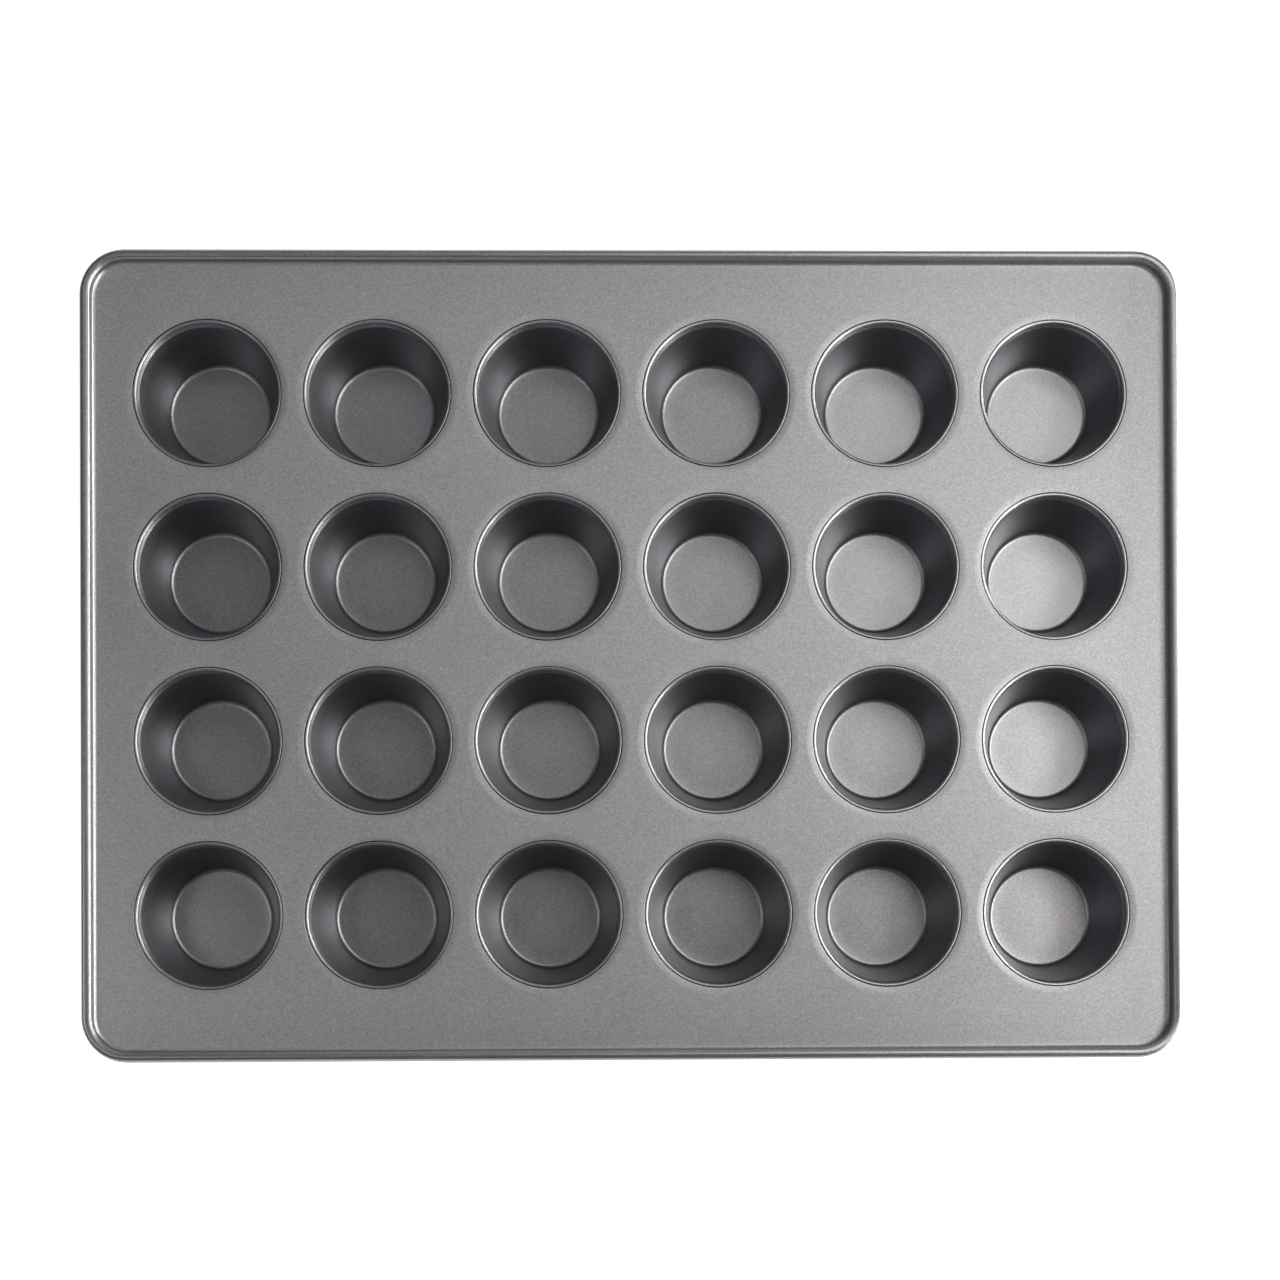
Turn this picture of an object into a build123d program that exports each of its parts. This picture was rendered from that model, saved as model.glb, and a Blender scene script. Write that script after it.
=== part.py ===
from build123d import *
import os

# A large muffin tin: separately drawn cups, each swaged fast into a stepped hole of one flat sheet, whose
# edge is rolled over a steel wire. Millimetres, +Z up, +X along the length. The origin is on the surface
# that the tin stands on, under the middle of its outline.

# Outline and layout
tin_length = 529.0
tin_width = 390.0
corner_radius = 22.0
cup_columns = 6
cup_rows = 4
pitch_x = 81.8
pitch_y = 83.9
grid_back_shift = 1.3  # the cups sit this much nearer to the back edge

# Sheet metal
sheet_gauge = 0.6
cup_gauge = 0.5

# Cup, its radii and depths taken on the inside surface
cup_depth = 35.0  # from the flat of the sheet to the cup's floor
floor_radius = 25.0
floor_fillet = 2.0
mouth_radius = 33.9
lip_radius = 1.0
flange_radius = 35.65
bead_radius = 34.35  # deepest line of the locking bead that grips under the hole's edge
bead_depth = 2.25
neck_depth = 1.6
shoulder_radius = 33.2
shoulder_depth = 4.1
neck_fillet = 0.7
bead_fillet = 0.4
shoulder_fillet = 2.0

# Stepped hole in the sheet, under each cup's flange
seam_radius = 35.75
ring_radius = 39.5  # outer edge of the shallow dish pressed round the hole
dish_depth = 0.3
seam_fillet = 0.35
hole_radius = 34.45
hole_fillet = 0.45
step_fillet = 0.4

# Rolled rim
wire_radius = 1.95
wire_clearance = 0.05
rim_bend = 1.4  # inside radius of the bend from the flat up to the rim
roll_height = 3.0  # centre of the roll above the flat
roll_wrap = 310.0
wire_butt_gap = 1.0

# Worked out from the above
sheet_top = cup_depth + cup_gauge
flange_depth = dish_depth
shelf_depth = flange_depth + cup_gauge
roll_radius = wire_radius + wire_clearance + sheet_gauge
rim_reach = rim_bend + 2 * roll_radius  # from the end of the flat field to the outer edge
field_length = tin_length - 2 * rim_reach
field_width = tin_width - 2 * rim_reach
field_corner = corner_radius - rim_reach
roll_centre = rim_bend + roll_radius


def cup_centre(row, column):
    """Centre of a cup's mouth. Row 1 is at the back and column 1 on the left."""
    x = (column - (cup_columns + 1) / 2) * pitch_x
    y = ((cup_rows + 1) / 2 - row) * pitch_y + grid_back_shift
    return x, y


def cup_grid():
    """Every (row, column), row by row from the back."""
    return [(row, column) for row in range(1, cup_rows + 1) for column in range(1, cup_columns + 1)]


def section_plane(x, y):
    """Upright plane through a cup's axis, with its origin at the height of the sheet's flat."""
    return Plane(origin=(x, y, sheet_top), x_dir=(1, 0, 0), z_dir=(0, -1, 0))


def upright_axis(x, y):
    return Axis((x, y, 0), (0, 0, 1))


def save(piece, name):
    """Label a finished piece and write its STEP."""
    piece.label = name
    export_step(piece, f"parts/{name}.step")


def stepped_hole(x, y):
    """The dish round one hole, the step down at the seam, and the shelf that the cup's flange sits on."""
    with BuildPart() as hole:
        with BuildSketch(section_plane(x, y)):
            with BuildLine():
                FilletPolyline(
                    (ring_radius, 0),
                    (seam_radius, -dish_depth),
                    (seam_radius, -shelf_depth),
                    (hole_radius, -shelf_depth),
                    (hole_radius, -shelf_depth - sheet_gauge),
                    (seam_radius + sheet_gauge, -shelf_depth - sheet_gauge),
                    (seam_radius + sheet_gauge, -dish_depth - sheet_gauge),
                    (ring_radius, -sheet_gauge),
                    radius=[0, seam_fillet, 0, hole_fillet, 0, step_fillet, 0, 0],
                    close=True,
                )
            make_face()
        revolve(axis=upright_axis(x, y))
    return hole.part


def rolled_rim():
    """The rim: a bend up from the field and a roll outward over the wire, swept round the tin."""
    half_length = field_length / 2
    half_width = field_width / 2
    start = (0, -half_width, sheet_top)
    with BuildPart() as rim:
        with BuildLine() as route:
            FilletPolyline(
                start,
                (half_length, -half_width, sheet_top),
                (half_length, half_width, sheet_top),
                (-half_length, half_width, sheet_top),
                (-half_length, -half_width, sheet_top),
                radius=[0, field_corner, field_corner, field_corner, field_corner],
                close=True,
            )
        with BuildSketch(Plane(origin=start, x_dir=(0, -1, 0), z_dir=(-1, 0, 0))):
            with BuildLine():
                near_bend = CenterArc((0, rim_bend), rim_bend, 270, 90)
                far_bend = CenterArc((0, rim_bend), rim_bend + sheet_gauge, 270, 90)
                outer_roll = CenterArc((roll_centre, roll_height), roll_radius, 180, -roll_wrap)
                inner_roll = CenterArc((roll_centre, roll_height), roll_radius - sheet_gauge, 180, -roll_wrap)
                Line(near_bend @ 0, far_bend @ 0)
                Line(near_bend @ 1, outer_roll @ 0)
                Line(far_bend @ 1, inner_roll @ 0)
                Line(outer_roll @ 1, inner_roll @ 1)
            make_face()
        sweep(path=route.wires()[0])
    return rim.part


def make_top_sheet():
    """The flat field with its rolled rim and a dished, stepped hole for each cup."""
    centres = [cup_centre(row, column) for row, column in cup_grid()]
    holes = [stepped_hole(x, y) for x, y in centres]
    rim = rolled_rim()
    with BuildPart() as top_sheet:
        with BuildSketch(Plane.XY.offset(sheet_top - sheet_gauge)):
            RectangleRounded(field_length, field_width, field_corner)
            with Locations(centres):
                Circle(ring_radius, mode=Mode.SUBTRACT)
        extrude(amount=sheet_gauge)
        add(holes)
        add(rim)
    save(top_sheet.part, "top_sheet")


def make_rim_wire():
    """The wire inside the roll, bent to the tin's outline, with its two ends butted at the back."""
    half_length = field_length / 2 + roll_centre
    half_width = field_width / 2 + roll_centre
    height = sheet_top + roll_height
    start = (-wire_butt_gap / 2, half_width, height)
    with BuildPart() as rim_wire:
        with BuildLine() as route:
            FilletPolyline(
                start,
                (-half_length, half_width, height),
                (-half_length, -half_width, height),
                (half_length, -half_width, height),
                (half_length, half_width, height),
                (wire_butt_gap / 2, half_width, height),
                radius=field_corner + roll_centre,
            )
        with BuildSketch(Plane(origin=start, z_dir=(-1, 0, 0))):
            Circle(wire_radius)
        sweep(path=route.wires()[0])
    save(rim_wire.part, "rim_wire")


def make_cup(name, x, y):
    """One drawn cup: floor, tapered wall, locking bead and lip, turned out to a narrow flange."""
    with BuildPart() as cup:
        with BuildSketch(section_plane(x, y)):
            with BuildLine():
                FilletPolyline(
                    (0, -cup_depth),
                    (floor_radius, -cup_depth),
                    (shoulder_radius, -shoulder_depth),
                    (bead_radius, -bead_depth),
                    (mouth_radius, -neck_depth),
                    (mouth_radius, -flange_depth),
                    (flange_radius, -flange_depth),
                    radius=[floor_fillet, shoulder_fillet, bead_fillet, neck_fillet, lip_radius],
                )
                offset(amount=cup_gauge, side=Side.RIGHT)
            make_face()
        revolve(axis=upright_axis(x, y))
    save(cup.part, name)


os.makedirs("parts", exist_ok=True)
make_top_sheet()
make_rim_wire()
for cup_row, cup_column in cup_grid():
    make_cup(f"cup_r{cup_row}c{cup_column}", *cup_centre(cup_row, cup_column))
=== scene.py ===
import math
import random

import bmesh
import bpy
import numpy as np
from mathutils import Matrix, Vector


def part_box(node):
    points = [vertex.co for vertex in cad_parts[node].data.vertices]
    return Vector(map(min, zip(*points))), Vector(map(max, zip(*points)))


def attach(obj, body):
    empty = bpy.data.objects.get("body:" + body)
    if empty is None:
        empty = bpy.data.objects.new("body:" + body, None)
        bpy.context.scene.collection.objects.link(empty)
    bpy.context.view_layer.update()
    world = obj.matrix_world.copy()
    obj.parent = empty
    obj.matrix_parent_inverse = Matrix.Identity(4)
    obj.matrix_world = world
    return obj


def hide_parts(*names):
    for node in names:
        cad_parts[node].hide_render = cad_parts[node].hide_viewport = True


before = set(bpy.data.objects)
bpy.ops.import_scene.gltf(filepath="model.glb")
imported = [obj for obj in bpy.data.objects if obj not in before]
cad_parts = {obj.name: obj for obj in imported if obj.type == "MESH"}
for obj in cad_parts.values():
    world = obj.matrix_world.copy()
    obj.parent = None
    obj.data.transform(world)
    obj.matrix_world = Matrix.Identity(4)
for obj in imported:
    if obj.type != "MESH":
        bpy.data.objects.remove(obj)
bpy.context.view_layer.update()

# The looks of a large muffin tin, built round its CAD frame. Lengths in the sheet-metal sections are
# millimetres, with heights from the flat of the sheet, and MM turns them into metres. Materials, lamps and
# the camera are in metres.
MM = 0.001
ROWS = 4
COLUMNS = 6

# ---------------------------------------------------------------- sizes read from the frame
tin_low, tin_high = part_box("top_sheet")
HALF_LENGTH = (tin_high.x - tin_low.x) / 2 / MM
HALF_WIDTH = (tin_high.y - tin_low.y) / 2 / MM
CELLS = [(row, column) for row in range(1, ROWS + 1) for column in range(1, COLUMNS + 1)]
cup_boxes = {at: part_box(f"cup_r{at[0]}c{at[1]}") for at in CELLS}
cup_centres = {at: ((low + high) / 2 / MM).to_2d() for at, (low, high) in cup_boxes.items()}
PITCH_X = (cup_centres[1, 2] - cup_centres[1, 1]).x
PITCH_Y = (cup_centres[1, 1] - cup_centres[2, 1]).y
FLANGE_RADIUS = (cup_boxes[1, 1][1] - cup_boxes[1, 1][0]).x / 2 / MM

# ---------------------------------------------------------------- sheet-metal sections
CUP_GAUGE = 0.5
SHEET_GAUGE = 0.6
DISH_DEPTH = 0.3
SHEET_TOP = cup_boxes[1, 1][1].z / MM + DISH_DEPTH

# The cup, its radii and depths taken on the inside surface
CUP_DEPTH = SHEET_TOP - CUP_GAUGE
FLOOR_RADIUS = 25.0
SHOULDER_RADIUS = 33.2
SHOULDER_DEPTH = 4.1
BEAD_RADIUS = 34.35
BEAD_DEPTH = 2.25
NECK_RADIUS = 33.9
NECK_DEPTH = 1.6
CUP_EDGE_RADIUS = FLANGE_RADIUS - 0.28
CUP_EDGE_DEPTH = 0.2
CUP_BENDS = (2.3, 2.0, 0.4, 0.7, 1.15)  # radii from the floor's edge out to the lip
FLANGE_EDGE_BENDS = (0.14, 0.22)
CUP_STRAY = 0.1  # most that a cup stands off the middle of its hole, along x and along y

# The sheet's stepped hole, under the cup's flange
HOLE_RADIUS = 34.45
SHELF_DEPTH = DISH_DEPTH + CUP_GAUGE
SEAM_RADIUS = FLANGE_RADIUS + 0.15
SEAM_EDGE_DEPTH = 0.2
STEP_RADIUS = SEAM_RADIUS + SHEET_GAUGE
DISH_RADIUS = 39.0
FLAT_RADIUS = DISH_RADIUS + 0.9
HOLE_BENDS = (6.0, 0.2, 0, 0.45, 0, 0.3, 0)  # radii from the dish's edge round to the flat's underside

# The rim, where the short sides' roll is flatter on top than the long sides' and slopes down inwards
CORNER_RADIUS = 22.0
ROLL_REACH = 2.6
ROLL_RISE = tin_high.z / MM - SHEET_TOP
ROLL_WRAP = math.radians(305)
ROLL_SQUARENESS = 2.7  # on the short sides, where 2 is round
ROLL_LEAN = math.radians(11)
BEND_LONG_SIDES = 1.4
BEND_SHORT_SIDES = 2.1
CURL_WIDTH = 3.2
CURL_RISE = 0.07

# ---------------------------------------------------------------- lines and meshes
JOIN_DISTANCE = 2e-6


def rounded(corners, radii, steps):
    """The points of an open line through the corners, with an arc of each radius at each inner corner."""
    corners = [np.array(corner, float) for corner in corners]
    points = [corners[0]]
    for before, at, after, radius in zip(corners, corners[1:], corners[2:], radii):
        into = (at - before) / np.linalg.norm(at - before)
        out = (after - at) / np.linalg.norm(after - at)
        turn = math.atan2(into[0] * out[1] - into[1] * out[0], into @ out)
        if radius == 0:
            points.append(at)
            continue
        side = math.copysign(radius, turn) * np.array([-into[1], into[0]])
        centre = at - into * radius * math.tan(abs(turn) / 2) + side
        for k in range(steps + 1):
            a = turn * k / steps
            spin = np.array([[math.cos(a), -math.sin(a)], [math.sin(a), math.cos(a)]])
            points.append(centre - spin @ side)
    points.append(corners[-1])
    return np.array(points)


def offset_line(points, distance):
    """The same line moved sideways by the distance, to the right of its direction."""
    steps = np.diff(points, axis=0)
    steps /= np.linalg.norm(steps, axis=1)[:, None]
    ahead = np.vstack([steps, steps[-1:]])
    behind = np.vstack([steps[:1], steps])
    normals = (ahead + behind)[:, ::-1] * (1, -1)
    normals /= np.linalg.norm(normals, axis=1)[:, None]
    spread = np.sqrt((1 + np.sum(ahead * behind, axis=1)) / 2)
    return points + normals * (distance / spread)[:, None]


def split_long(points, longest):
    """The same line with extra points, so that no step along it is longer than this."""
    result = [points[0]]
    for a, b in zip(points, points[1:]):
        count = max(1, math.ceil(np.linalg.norm(b - a) / longest))
        result += [a + (b - a) * k / count for k in range(1, count + 1)]
    return np.array(result)


def with_height(points, height):
    return np.concatenate([points, np.full(points.shape[:-1] + (1,), height)], axis=-1)


class Skin:
    """Collects grids of points as one mesh, and joins the points that neighbouring grids share."""

    def __init__(self):
        self.points = []
        self.faces = []
        self.count = 0

    def add_points(self, points):
        first = self.count
        self.points.append(points.reshape(-1, 3))
        self.count += len(self.points[-1])
        return first

    def grid(self, rows, closed=False):
        height, width = rows.shape[:2]
        index = np.arange(height * width).reshape(height, width) + self.add_points(rows)
        if closed:
            index = np.hstack([index, index[:, :1]])
        corners = [index[:-1, :-1], index[:-1, 1:], index[1:, 1:], index[1:, :-1]]
        self.faces += np.stack(corners, axis=-1).reshape(-1, 4).tolist()
        return index

    def fan(self, ring, middle):
        centre = self.add_points(np.array(middle, float))
        self.faces += [[a, b, centre] for a, b in zip(ring, ring[1:])]

    def mesh(self, name, sharp_angle):
        data = bpy.data.meshes.new(name)
        data.from_pydata((np.vstack(self.points) * MM).tolist(), [], self.faces)
        shape = bmesh.new()
        shape.from_mesh(data)
        bmesh.ops.remove_doubles(shape, verts=shape.verts, dist=JOIN_DISTANCE)
        bmesh.ops.recalc_face_normals(shape, faces=shape.faces)
        shape.to_mesh(data)
        shape.free()
        data.shade_smooth()
        data.set_sharp_from_angle(angle=sharp_angle)
        return data


def link_object(name, data):
    made = bpy.data.objects.new(name, data)
    bpy.context.scene.collection.objects.link(made)
    return made


def add_piece(name, data, material, node):
    piece = link_object(name, data)
    data.materials.append(material)
    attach(piece, "root")
    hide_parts(node)
    return piece


# ---------------------------------------------------------------- the top sheet
SIDE_STEPS = 18
MARGIN_STEPS = 6
ROLL_STEPS = 40
BEND_STEPS = 7
CURL_BLENDS = (1.0, 0.75, 0.5, 0.25)
FLAT_BLENDS_ABOVE = (1.0, 0.72, 0.45, 0.2)
FLAT_BLENDS_BELOW = (0.35, 1.0)
SHEET_SHARP_ANGLE = math.radians(35)


def side_ticks(pitch):
    """Steps along half a cell's side, spaced so that lines to the cup's middle are at nearly even angles."""
    return [pitch / 2 * math.tan(math.pi / 4 * (2 * k / SIDE_STEPS - 1)) for k in range(SIDE_STEPS)]


def cell_outline():
    """The cell's rectangle round one cup, counterclockwise from its front right corner."""
    across, along = side_ticks(PITCH_X), side_ticks(PITCH_Y)
    right, back = PITCH_X / 2, PITCH_Y / 2
    return np.array(
        [(right, y) for y in along]
        + [(-x, back) for x in across]
        + [(-right, -y) for y in along]
        + [(x, -back) for x in across]
    )


def hole_section():
    """From the flat down the dish and the seam to the shelf, round the hole's edge and back below."""
    corners = [
        (FLAT_RADIUS, 0),
        (DISH_RADIUS, 0),
        (SEAM_RADIUS, -SEAM_EDGE_DEPTH),
        (SEAM_RADIUS, -SHELF_DEPTH),
        (HOLE_RADIUS, -SHELF_DEPTH),
        (HOLE_RADIUS, -SHELF_DEPTH - SHEET_GAUGE),
        (STEP_RADIUS, -SHELF_DEPTH - SHEET_GAUGE),
        (STEP_RADIUS, -SEAM_EDGE_DEPTH - SHEET_GAUGE),
        (FLAT_RADIUS, -SHEET_GAUGE),
    ]
    return rounded(corners, HOLE_BENDS, steps=4)


def add_cells(skin):
    """The flat round each cup, above and below, with the stepped hole between."""
    outline = cell_outline()
    section = hole_section()
    rays = outline / np.linalg.norm(outline, axis=1)[:, None]
    ring = rays * FLAT_RADIUS
    above = [with_height(ring + (outline - ring) * f, 0) for f in FLAT_BLENDS_ABOVE]
    hole = [with_height(rays * r, z) for r, z in section]
    below = [with_height(ring + (outline - ring) * f, -SHEET_GAUGE) for f in FLAT_BLENDS_BELOW]
    cell = np.stack(above + hole + below)
    for centre in cup_centres.values():
        skin.grid(cell + (centre.x, centre.y, 0), closed=True)


def field_ticks():
    """Where the cells' lines meet the sides of the cup field, along x and along y."""
    xs = [x + cup_centres[1, column].x for column in range(1, COLUMNS + 1) for x in side_ticks(PITCH_X)]
    ys = [y + cup_centres[row, 1].y for row in range(ROWS, 0, -1) for y in side_ticks(PITCH_Y)]
    right = cup_centres[1, COLUMNS].x + PITCH_X / 2
    back = cup_centres[1, 1].y + PITCH_Y / 2
    return np.array(xs + [right]), np.array(ys + [back])


def roll_line(shortness):
    """The roll's outline from its inner side over the top and under, as distances from its middle.

    Shortness is 0 on the long sides and 1 on the short ones."""
    squareness = 2 + (ROLL_SQUARENESS - 2) * shortness
    lean = ROLL_LEAN * shortness
    turns = np.linspace(0, ROLL_WRAP, ROLL_STEPS + 1)
    c, s = np.cos(turns), np.sin(turns)
    reach = (abs(c) ** squareness + abs(s) ** squareness) ** (-1 / squareness)
    inward = reach * (c * math.cos(lean) + s * math.sin(lean))
    height = reach * (s * math.cos(lean) - c * math.sin(lean))
    return np.stack([inward / -inward.min(), height / height.max()], axis=1) * ROLL_REACH


def rim_section(shortness):
    """Distance in from the tin's outline, and height: a soft curl, the bend up and the roll, both faces."""
    bend = BEND_LONG_SIDES + (BEND_SHORT_SIDES - BEND_LONG_SIDES) * shortness
    foot = ROLL_REACH * 2 + bend
    curl = [(foot + CURL_WIDTH * f, CURL_RISE * (1 - f) ** 2) for f in CURL_BLENDS]
    turns = np.linspace(0, math.pi / 2, BEND_STEPS + 1)
    climb = [(foot - bend * math.sin(a), CURL_RISE + bend * (1 - math.cos(a))) for a in turns]
    roll = roll_line(shortness) + (ROLL_REACH, ROLL_RISE - ROLL_REACH)
    outer = np.vstack([curl, climb, roll])
    inner = offset_line(outer, -SHEET_GAUGE)
    return np.vstack([outer, inner[::-1]])


def tin_outline(along_x, along_y):
    """Points on the tin's rounded outline and their outward directions, counterclockwise from front left."""
    straight_x, straight_y = HALF_LENGTH - CORNER_RADIUS, HALF_WIDTH - CORNER_RADIUS
    xs = along_x * straight_x / along_x[-1]
    ys = np.interp(along_y, (along_y[0], along_y[-1]), (-straight_y, straight_y))
    turns = np.linspace(0, math.pi / 2, 2 * MARGIN_STEPS + 1)[1:-1]
    sides = [
        [((x, -HALF_WIDTH), -math.pi / 2) for x in xs],
        [((HALF_LENGTH, y), 0) for y in ys],
        [((x, HALF_WIDTH), math.pi / 2) for x in xs[::-1]],
        [((-HALF_LENGTH, y), math.pi) for y in ys[::-1]],
    ]
    corner_signs = [(1, -1), (1, 1), (-1, 1), (-1, -1)]
    points = []
    for side, (sign_x, sign_y) in zip(sides, corner_signs):
        points += side
        for heading in side[0][1] + turns:
            x = sign_x * straight_x + CORNER_RADIUS * math.cos(heading)
            y = sign_y * straight_y + CORNER_RADIUS * math.sin(heading)
            points.append(((x, y), heading))
    places = np.array([place for place, _ in points])
    headings = np.array([heading for _, heading in points])
    return places, np.stack([np.cos(headings), np.sin(headings)], axis=1)


def add_rim(skin, xs, ys):
    """The rolled rim all round the tin. Gives back its foot, where it meets the flat."""
    places, outward = tin_outline(xs, ys)
    sections = np.stack([rim_section(x * x) for x in outward[:, 0]], axis=1)
    rim = places - outward * sections[..., :1]
    skin.grid(np.concatenate([rim, sections[..., 1:]], axis=-1), closed=True)
    return rim[0]


def corner_patch(start, arc):
    """A square grid between a corner of the cup field, the ends of two margin strips and the rim's arc."""
    n = MARGIN_STEPS
    s = np.linspace(0, 1, n + 1)[:, None, None]
    t = np.linspace(0, 1, n + 1)[None, :, None]
    first, middle, second = arc[0], arc[n], arc[-1]
    low = start + (first - start) * s[:, 0]
    left = start + (second - start) * t[0]
    right = arc[: n + 1]
    high = arc[n:][::-1]
    edges = (1 - t) * low[:, None] + t * high[:, None] + (1 - s) * left[None] + s * right[None]
    corners = (1 - s) * (1 - t) * start + s * (1 - t) * first + (1 - s) * t * second + s * t * middle
    return edges - corners


def add_margin(skin, xs, ys, foot):
    """The flat between the cup field and the rim, above and below, as side strips and corner patches."""
    corners = [(xs[0], ys[0]), (xs[-1], ys[0]), (xs[-1], ys[-1]), (xs[0], ys[-1])]
    field_sides = [
        np.stack([xs, np.full_like(xs, ys[0])], axis=1),
        np.stack([np.full_like(ys, xs[-1]), ys], axis=1),
        np.stack([xs[::-1], np.full_like(xs, ys[-1])], axis=1),
        np.stack([np.full_like(ys, xs[0]), ys[::-1]], axis=1),
    ]
    blends = np.linspace(0, 1, MARGIN_STEPS + 1)[:, None, None]
    patches = []
    at = 0
    for side, corner in zip(field_sides, corners[1:] + corners[:1]):
        outer = foot[at : at + len(side)]
        patches.append(side + (outer - side) * blends)
        at += len(side) - 1
        arc = np.take(foot, range(at, at + 2 * MARGIN_STEPS + 1), axis=0, mode="wrap")
        patches.append(corner_patch(np.array(corner), arc))
        at += 2 * MARGIN_STEPS
    for patch in patches:
        skin.grid(with_height(patch, 0))
        skin.grid(with_height(patch, -SHEET_GAUGE))


def make_top_sheet(material):
    skin = Skin()
    add_cells(skin)
    xs, ys = field_ticks()
    foot = add_rim(skin, xs, ys)
    add_margin(skin, xs, ys, foot)
    skin.points = [points + (0, 0, SHEET_TOP) for points in skin.points]
    data = skin.mesh("pressed_top_sheet", SHEET_SHARP_ANGLE)
    return add_piece("pressed_top_sheet", data, material, "top_sheet")


# ---------------------------------------------------------------- the cups
CUP_SEGMENTS = 96
FLOOR_RINGS = (4.0, 9.0, 14.0, 18.5)
LONGEST_WALL_STEP = 6.0
CUP_SHARP_ANGLE = math.radians(40)


def cup_section():
    """The cup's inside from the middle of its floor out to its flange, then its outside back again."""
    corners = [
        (FLOOR_RINGS[-1], -CUP_DEPTH),
        (FLOOR_RADIUS, -CUP_DEPTH),
        (SHOULDER_RADIUS, -SHOULDER_DEPTH),
        (BEAD_RADIUS, -BEAD_DEPTH),
        (NECK_RADIUS, -NECK_DEPTH),
        (NECK_RADIUS, -CUP_EDGE_DEPTH),
        (CUP_EDGE_RADIUS, -CUP_EDGE_DEPTH),
    ]
    inside = rounded(corners, CUP_BENDS, steps=7)
    outside = offset_line(inside, CUP_GAUGE)
    edge_corners = [inside[-2], inside[-1], outside[-1], outside[-2]]
    edge = rounded(edge_corners, FLANGE_EDGE_BENDS, steps=3)[1:-1]
    floor = np.array([(r, -CUP_DEPTH) for r in FLOOR_RINGS[:-1]])
    up_inside = split_long(inside[:-1], LONGEST_WALL_STEP)
    down_outside = split_long(outside[-2::-1], LONGEST_WALL_STEP)
    return np.vstack([floor, up_inside, edge, down_outside, floor[::-1] - (0, CUP_GAUGE)])


def make_cup(at, section, material):
    draw = random.Random(100 * at[0] + at[1])
    stray = Vector((draw.uniform(-CUP_STRAY, CUP_STRAY), draw.uniform(-CUP_STRAY, CUP_STRAY)))
    centre = cup_centres[at] + stray
    angles = draw.uniform(0, 2 * math.pi) + np.arange(CUP_SEGMENTS) * 2 * math.pi / CUP_SEGMENTS
    x = centre.x + section[:, :1] * np.cos(angles)
    y = centre.y + section[:, :1] * np.sin(angles)
    z = np.broadcast_to(SHEET_TOP + section[:, 1:], x.shape)
    skin = Skin()
    index = skin.grid(np.stack([x, y, z], axis=-1), closed=True)
    skin.fan(index[0], (centre.x, centre.y, z[0, 0]))
    skin.fan(index[-1], (centre.x, centre.y, z[-1, 0]))
    node = f"cup_r{at[0]}c{at[1]}"
    return add_piece(f"drawn_{node}", skin.mesh(node, CUP_SHARP_ANGLE), material, node)


# ---------------------------------------------------------------- materials
NOISE_LOW, NOISE_HIGH = 0.3, 0.7  # nearly all of a noise texture's values are between these


class Look:
    """A node material in the making. Its nodes' inputs are numbers or other nodes' outputs."""

    def __init__(self, name):
        self.material = bpy.data.materials.new(name)
        self.material.use_nodes = True
        self.nodes = self.material.node_tree.nodes
        self.shader = self.nodes["Principled BSDF"]
        coordinates = self.nodes.new("ShaderNodeTexCoord")
        self.place = coordinates.outputs["Object"]
        self.facing = coordinates.outputs["Normal"]

    def feed(self, value, socket):
        if isinstance(value, bpy.types.NodeSocket):
            self.material.node_tree.links.new(value, socket)
        else:
            socket.default_value = value

    def add(self, kind, **inputs):
        node = self.nodes.new(kind)
        for name, value in inputs.items():
            self.feed(value, node.inputs[name])
        return node

    def math(self, operation, *values):
        node = self.nodes.new("ShaderNodeMath")
        node.operation = operation
        for value, socket in zip(values, node.inputs):
            self.feed(value, socket)
        return node.outputs[0]

    def spread(self, value, low, high, to_low, to_high):
        """The value's range from low to high, mapped to another one and held at its ends."""
        node = self.add("ShaderNodeMapRange", Value=value)
        for name, number in zip(("From Min", "From Max", "To Min", "To Max"), (low, high, to_low, to_high)):
            node.inputs[name].default_value = number
        return node.outputs["Result"]

    def blend(self, factor, start, end):
        return self.spread(factor, 0, 1, start, end)

    def noise(self, scale, detail, roughness=0.5):
        settings = {"Scale": scale, "Detail": detail, "Roughness": roughness}
        return self.add("ShaderNodeTexNoise", Vector=self.place, **settings).outputs["Fac"]

    def vary(self, noise, middle, reach):
        return self.spread(noise, NOISE_LOW, NOISE_HIGH, middle - reach, middle + reach)

    def cells(self, scale):
        """Voronoi cells: the distance to the nearest one's middle, and its random colour's red and green."""
        node = self.add("ShaderNodeTexVoronoi", Vector=self.place, Scale=scale)
        colour = self.nodes.new("ShaderNodeSeparateColor")
        self.feed(node.outputs["Color"], colour.inputs[0])
        return node.outputs["Distance"], colour.outputs[0], colour.outputs[1]

    def upward(self, vector):
        node = self.nodes.new("ShaderNodeSeparateXYZ")
        self.feed(vector, node.inputs[0])
        return node.outputs["Z"]

    def product(self, first, *others):
        for other in others:
            first = self.math("MULTIPLY", first, other)
        return first

    def paint(self, colour, tone):
        """The colour times the tone, as the base colour."""
        node = self.nodes.new("ShaderNodeVectorMath")
        node.operation = "SCALE"
        self.feed(colour, node.inputs[0])
        self.feed(tone, node.inputs["Scale"])
        self.feed(node.outputs[0], self.shader.inputs["Base Color"])

    def bump(self, height, strength, distance):
        node = self.add("ShaderNodeBump", Height=height, Strength=strength, Distance=distance)
        self.feed(node.outputs["Normal"], self.shader.inputs["Normal"])


# Burnish, and the painted shade on metal bent off the flat, start at the first distance above or below the
# flat, and are full from the second
BURNISH_AND_SHADE_FROM = 0.00003
BURNISH_AND_SHADE_TO = 0.0005
# A seam's ledge, where shade is painted, is deeper than the first, and the upward part of its normal is over
# the second
CREVICE_DEPTH = 0.0004
LEDGE_FACES_UP = 0.5
# Painted shade, darker and bluer, is full on metal whose normal's upward part is under the first, and is not
# painted where it is over the second
WALL_UPRIGHT = 0.1
WALL_TURNED = 0.6
PAINTED_WALL_SHADE = (0.76, 0.775, 0.89)
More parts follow.
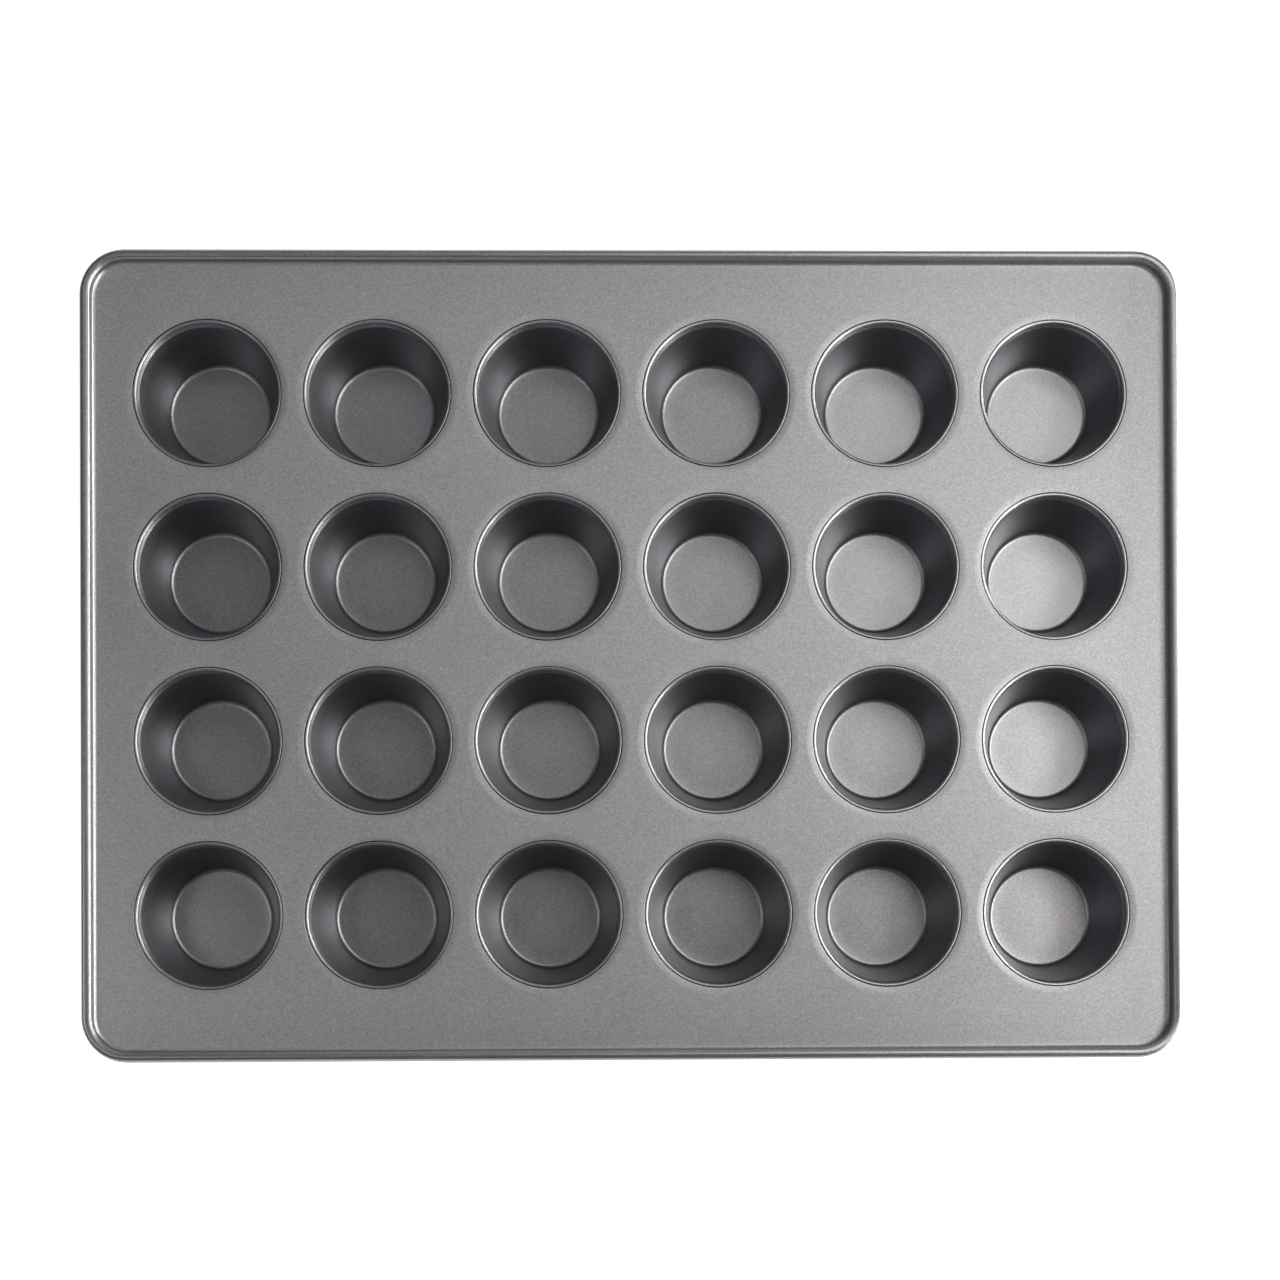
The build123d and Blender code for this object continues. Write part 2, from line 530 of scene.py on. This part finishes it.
# Fine grain and flakes, faint clouds
GRAIN_SCALE = 1250.0
GRAIN_TONE = 0.16
GRAIN_ROUGHNESS = 0.04
GRAIN_BUMP = 0.000006
GRAIN_BUMP_STRENGTH = 0.5
FLAKE_SCALE = 1900.0
FLAKE_TONE = 0.12
CLOUD_SCALE = 25.0
CLOUD_TONE = 0.02
CLOUD_ROUGHNESS = 0.02
# Sparse dark specks and light hairlines
SPECK_SCALE = 70.0
SPECK_REACH = 0.02
SPECK_RARITY = 0.93
SPECK_TONE = 0.45
HAIRLINE_TURN = (0, 0, math.radians(35))
HAIRLINE_SCALE = (130, 2200, 130)
HAIRLINE_RARITY = 0.8
HAIRLINE_EDGE = 0.04
HAIRLINE_TONE = 1.18
# Drawn wire
WIRE_COLOUR = (0.55, 0.55, 0.56)
WIRE_MOTTLE_SCALE = 220.0
WIRE_MEAN_TONE = 0.975
WIRE_MOTTLE_TONE = 0.125
WIRE_MARK_SCALE = 1600.0
WIRE_ROUGHNESS = 0.35
WIRE_MARK_ROUGHNESS = 0.07
WIRE_BUMP = 0.00002
WIRE_BUMP_STRENGTH = 0.4


def hairlines(look):
    """1, and a little more along fine straight scratches."""
    stretch = {"Rotation": HAIRLINE_TURN, "Scale": HAIRLINE_SCALE}
    turned = look.add("ShaderNodeMapping", Vector=look.place, **stretch).outputs["Vector"]
    noise = look.add("ShaderNodeTexNoise", Vector=turned, Scale=1.0, Detail=0.0)
    rarity = HAIRLINE_RARITY
    return look.spread(noise.outputs["Fac"], rarity, rarity + HAIRLINE_EDGE, 1.0, HAIRLINE_TONE)


def specks(look):
    """1, and less inside a few small dots."""
    distance, _, chance = look.cells(SPECK_SCALE)
    is_near = look.math("LESS_THAN", distance, SPECK_REACH)
    is_picked = look.math("GREATER_THAN", chance, SPECK_RARITY)
    return look.blend(look.product(is_near, is_picked), 1.0, SPECK_TONE)


def painted_crevice_shade(look, height, facing_up, tone):
    """1, and a darker tone on the ledges at the bottom of the seams: painted shade in their crevices."""
    is_deep = look.math("LESS_THAN", height, -CREVICE_DEPTH)
    is_ledge = look.math("GREATER_THAN", facing_up, LEDGE_FACES_UP)
    return look.blend(look.product(is_deep, is_ledge), 1.0, tone)


def painted_wall_shade(look, facing_up, base):
    """The base colour, with painted shade that makes it darker and bluer where the metal stands upright."""
    mix = look.nodes.new("ShaderNodeMix")
    mix.data_type = "RGBA"
    upright = look.math("ABSOLUTE", facing_up)
    look.feed(look.spread(upright, WALL_UPRIGHT, WALL_TURNED, 0.0, 1.0), mix.inputs["Factor"])
    mix.inputs["A"].default_value = [value * shade for value, shade in zip(base, PAINTED_WALL_SHADE)] + [1]
    mix.inputs["B"].default_value = (*base, 1)
    return mix.outputs["Result"]


def coating(name, base, metallic, roughness, edge_metallic, edge_roughness, edge_shade_tone, crevice_shade_tone=1.0):
    """Sprayed metallic non-stick. The edge values are those of the metal that is bent off the flat: its
    burnish, and with the edge shade tone a painted shade that darkens it.
    """
    look = Look(name)
    height = look.math("SUBTRACT", look.upward(look.place), SHEET_TOP * MM)
    facing_up = look.upward(look.facing)
    burnish_and_shade = look.spread(look.math("ABSOLUTE", height), BURNISH_AND_SHADE_FROM, BURNISH_AND_SHADE_TO, 0.0, 1.0)
    grain = look.noise(GRAIN_SCALE, detail=2.0, roughness=0.6)
    cloud = look.noise(CLOUD_SCALE, detail=3.0, roughness=0.55)
    _, flake, _ = look.cells(FLAKE_SCALE)

    tone = look.product(
        look.vary(grain, 1, GRAIN_TONE),
        look.blend(flake, 1 - FLAKE_TONE, 1 + FLAKE_TONE),
        look.vary(cloud, 1, CLOUD_TONE),
        specks(look),
        # painted shade: metal bent off the flat is darkened by the edge shade tone
        look.blend(burnish_and_shade, 1.0, edge_shade_tone),
        hairlines(look),
        # painted shade on the seams' ledges
        painted_crevice_shade(look, height, facing_up, crevice_shade_tone),
    )
    # Base colour with painted shade on the upright walls, times the tone
    look.paint(painted_wall_shade(look, facing_up, base), tone)
    if edge_metallic == metallic:
        look.shader.inputs["Metallic"].default_value = metallic
    else:
        look.feed(look.blend(burnish_and_shade, metallic, edge_metallic), look.shader.inputs["Metallic"])
    rough = look.math("ADD", look.vary(grain, 0, GRAIN_ROUGHNESS), look.vary(cloud, 0, CLOUD_ROUGHNESS))
    rough = look.math("ADD", rough, look.blend(burnish_and_shade, roughness, edge_roughness))
    look.feed(rough, look.shader.inputs["Roughness"])
    look.bump(grain, GRAIN_BUMP_STRENGTH, GRAIN_BUMP)
    return look.material


def wire_steel():
    """Plain drawn wire: fine draw marks and a mottled surface."""
    look = Look("wire_steel_look")
    look.shader.inputs["Metallic"].default_value = 1.0
    mottle = look.noise(WIRE_MOTTLE_SCALE, detail=3.0)
    marks = look.noise(WIRE_MARK_SCALE, detail=2.0)
    look.paint(WIRE_COLOUR, look.vary(mottle, WIRE_MEAN_TONE, WIRE_MOTTLE_TONE))
    look.feed(look.vary(marks, WIRE_ROUGHNESS, WIRE_MARK_ROUGHNESS), look.shader.inputs["Roughness"])
    look.bump(marks, WIRE_BUMP_STRENGTH, WIRE_BUMP)
    return look.material


# ---------------------------------------------------------------- the tin
sheet_coating = coating(
    "sheet_coating",
    base=(0.305, 0.305, 0.305),
    metallic=0.34,
    roughness=0.38,
    edge_metallic=0.88,
    edge_roughness=0.34,
    # slight painted shade on the sheet's metal bent off the flat
    edge_shade_tone=0.95,
    # nearly black painted shade in the sheet's seams
    crevice_shade_tone=0.08,
)
cup_coating = coating(
    "cup_coating",
    base=(0.37, 0.37, 0.372),
    metallic=1.0,
    roughness=0.34,
    edge_metallic=1.0,
    edge_roughness=0.39,
    # the lip keeps the full base colour and the cup below it is darker: a painted highlight on the lips,
    # painted shade down the cup
    edge_shade_tone=0.75,
)
make_top_sheet(sheet_coating)
drawn_section = cup_section()
for cell in CELLS:
    make_cup(cell, drawn_section, cup_coating)
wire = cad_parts["rim_wire"]
wire.data.materials.clear()
wire.data.materials.append(wire_steel())

# ---------------------------------------------------------------- floor and backdrop
FLOOR_HALF_SIZE = 6.0
FLOOR_DROP = 0.0005
BACKDROP_RADIUS = 5.9
BACKDROP_HEIGHT = 8.0
BACKDROP_MIDDLE = 3.9


def pale_paper():
    look = Look("floor_look")
    look.shader.inputs["Base Color"].default_value = (0.9, 0.9, 0.9, 1)
    look.shader.inputs["Roughness"].default_value = 0.6
    look.shader.inputs["Emission Color"].default_value = (1, 1, 1, 1)
    look.shader.inputs["Emission Strength"].default_value = 0.8
    return look.material


def make_floor(material):
    data = bpy.data.meshes.new("floor")
    signs = [(-1, -1), (1, -1), (1, 1), (-1, 1)]
    corners = [(x * FLOOR_HALF_SIZE, y * FLOOR_HALF_SIZE, 0) for x, y in signs]
    data.from_pydata(corners, [], [(0, 1, 2, 3)])
    data.materials.append(material)
    floor = link_object("floor", data)
    floor.location.z = -FLOOR_DROP


def make_backdrop(material):
    """A pale ring of wall far round the floor, which only the camera sees."""
    shape = bmesh.new()
    bmesh.ops.create_cone(
        shape,
        cap_ends=False,
        segments=64,
        radius1=BACKDROP_RADIUS,
        radius2=BACKDROP_RADIUS,
        depth=BACKDROP_HEIGHT,
    )
    data = bpy.data.meshes.new("backdrop")
    shape.to_mesh(data)
    shape.free()
    data.materials.append(material)
    wall = link_object("backdrop", data)
    wall.location.z = BACKDROP_MIDDLE
    wall.visible_diffuse = False
    wall.visible_glossy = False
    wall.visible_transmission = False
    wall.visible_shadow = False


paper = pale_paper()
make_floor(paper)
make_backdrop(paper)

# ---------------------------------------------------------------- light
# Softboxes overhead, brighter towards the right, and low ones round the tin for its rim and lips
OVERHEAD = 0.95
LOW = 0.15
DOWN = (0, 0, -1)
LEFT = (-1, 0, 0)
BACK = (0, 1, 0)
FRONT = (0, -1, 0)
WHITE = (1, 1, 1)
WARM = (1.0, 0.93, 0.85)
COOL = (0.9, 0.92, 1.0)


def add_softbox(name, place, aim, size, power, colour):
    data = bpy.data.lights.new(name, "AREA")
    data.shape = "RECTANGLE"
    data.size, data.size_y = size
    data.energy = power
    data.color = colour
    lamp = link_object(name, data)
    lamp.location = place
    lamp.rotation_euler = Vector(aim).to_track_quat("-Z", "Y").to_euler()
    lamp.visible_camera = False


add_softbox("top_far_left", (-0.8, -0.18, OVERHEAD), DOWN, (0.36, 0.36), 1.4, WHITE)
add_softbox("top_left", (-0.5, -0.18, OVERHEAD), DOWN, (0.36, 0.36), 0.2, WARM)
add_softbox("top_back_left", (-0.2, 0.55, OVERHEAD), DOWN, (0.7, 0.36), 0.4, COOL)
add_softbox("top_middle", (0.1, 0.18, OVERHEAD), DOWN, (0.36, 0.36), 0.4, WHITE)
add_softbox("top_back_right", (0.4, 0.36, OVERHEAD), DOWN, (0.36, 0.72), 2.3, WHITE)
add_softbox("top_right", (0.7, 0, OVERHEAD), DOWN, (0.36, 0.72), 2.4, WARM)
add_softbox("top_far_right", (1, 0, OVERHEAD), DOWN, (0.36, 0.72), 13, WHITE)
add_softbox("low_right_front", (1.2, -0.6, LOW), LEFT, (0.3, 0.3), 16, WHITE)
add_softbox("low_right", (1.2, 0, LOW), LEFT, (0.6, 0.3), 8, WHITE)
add_softbox("low_right_back", (1.2, 0.6, LOW), LEFT, (0.3, 0.3), 12, WHITE)
add_softbox("low_front_left", (-0.4, -1, LOW), BACK, (0.7, 0.3), 1.1, COOL)
add_softbox("low_front_right", (0.4, -1, LOW), BACK, (0.7, 0.3), 0.3, COOL)
add_softbox("low_back", (0, 1, LOW), FRONT, (1, 0.3), 1.5, COOL)

world = bpy.data.worlds.new("studio")
world.use_nodes = True
world.node_tree.nodes["Background"].inputs["Color"].default_value = (0.1, 0.1, 0.11, 1)
bpy.context.scene.world = world

# ---------------------------------------------------------------- camera
CAMERA_PLACE = Vector((-0.0244, -0.1706, 0.9086))
CAMERA_LOOK = Vector((0.0156, 0.0073, -1)).normalized()
CAMERA_RIGHT = Vector((1, -0.0049, 0.0156))  # squared to the look below


def add_camera():
    data = bpy.data.cameras.new("camera")
    data.sensor_width = 36
    data.lens = 50.98
    data.shift_x = 0.0218
    data.shift_y = 0.2783
    camera = link_object("camera", data)
    right = (CAMERA_RIGHT - CAMERA_LOOK * CAMERA_RIGHT.dot(CAMERA_LOOK)).normalized()
    turn = Matrix((right, right.cross(CAMERA_LOOK), -CAMERA_LOOK)).transposed()
    camera.matrix_world = Matrix.Translation(CAMERA_PLACE) @ turn.to_4x4()
    return camera


bpy.context.scene.camera = add_camera()
bpy.context.scene.view_settings.view_transform = "Standard"
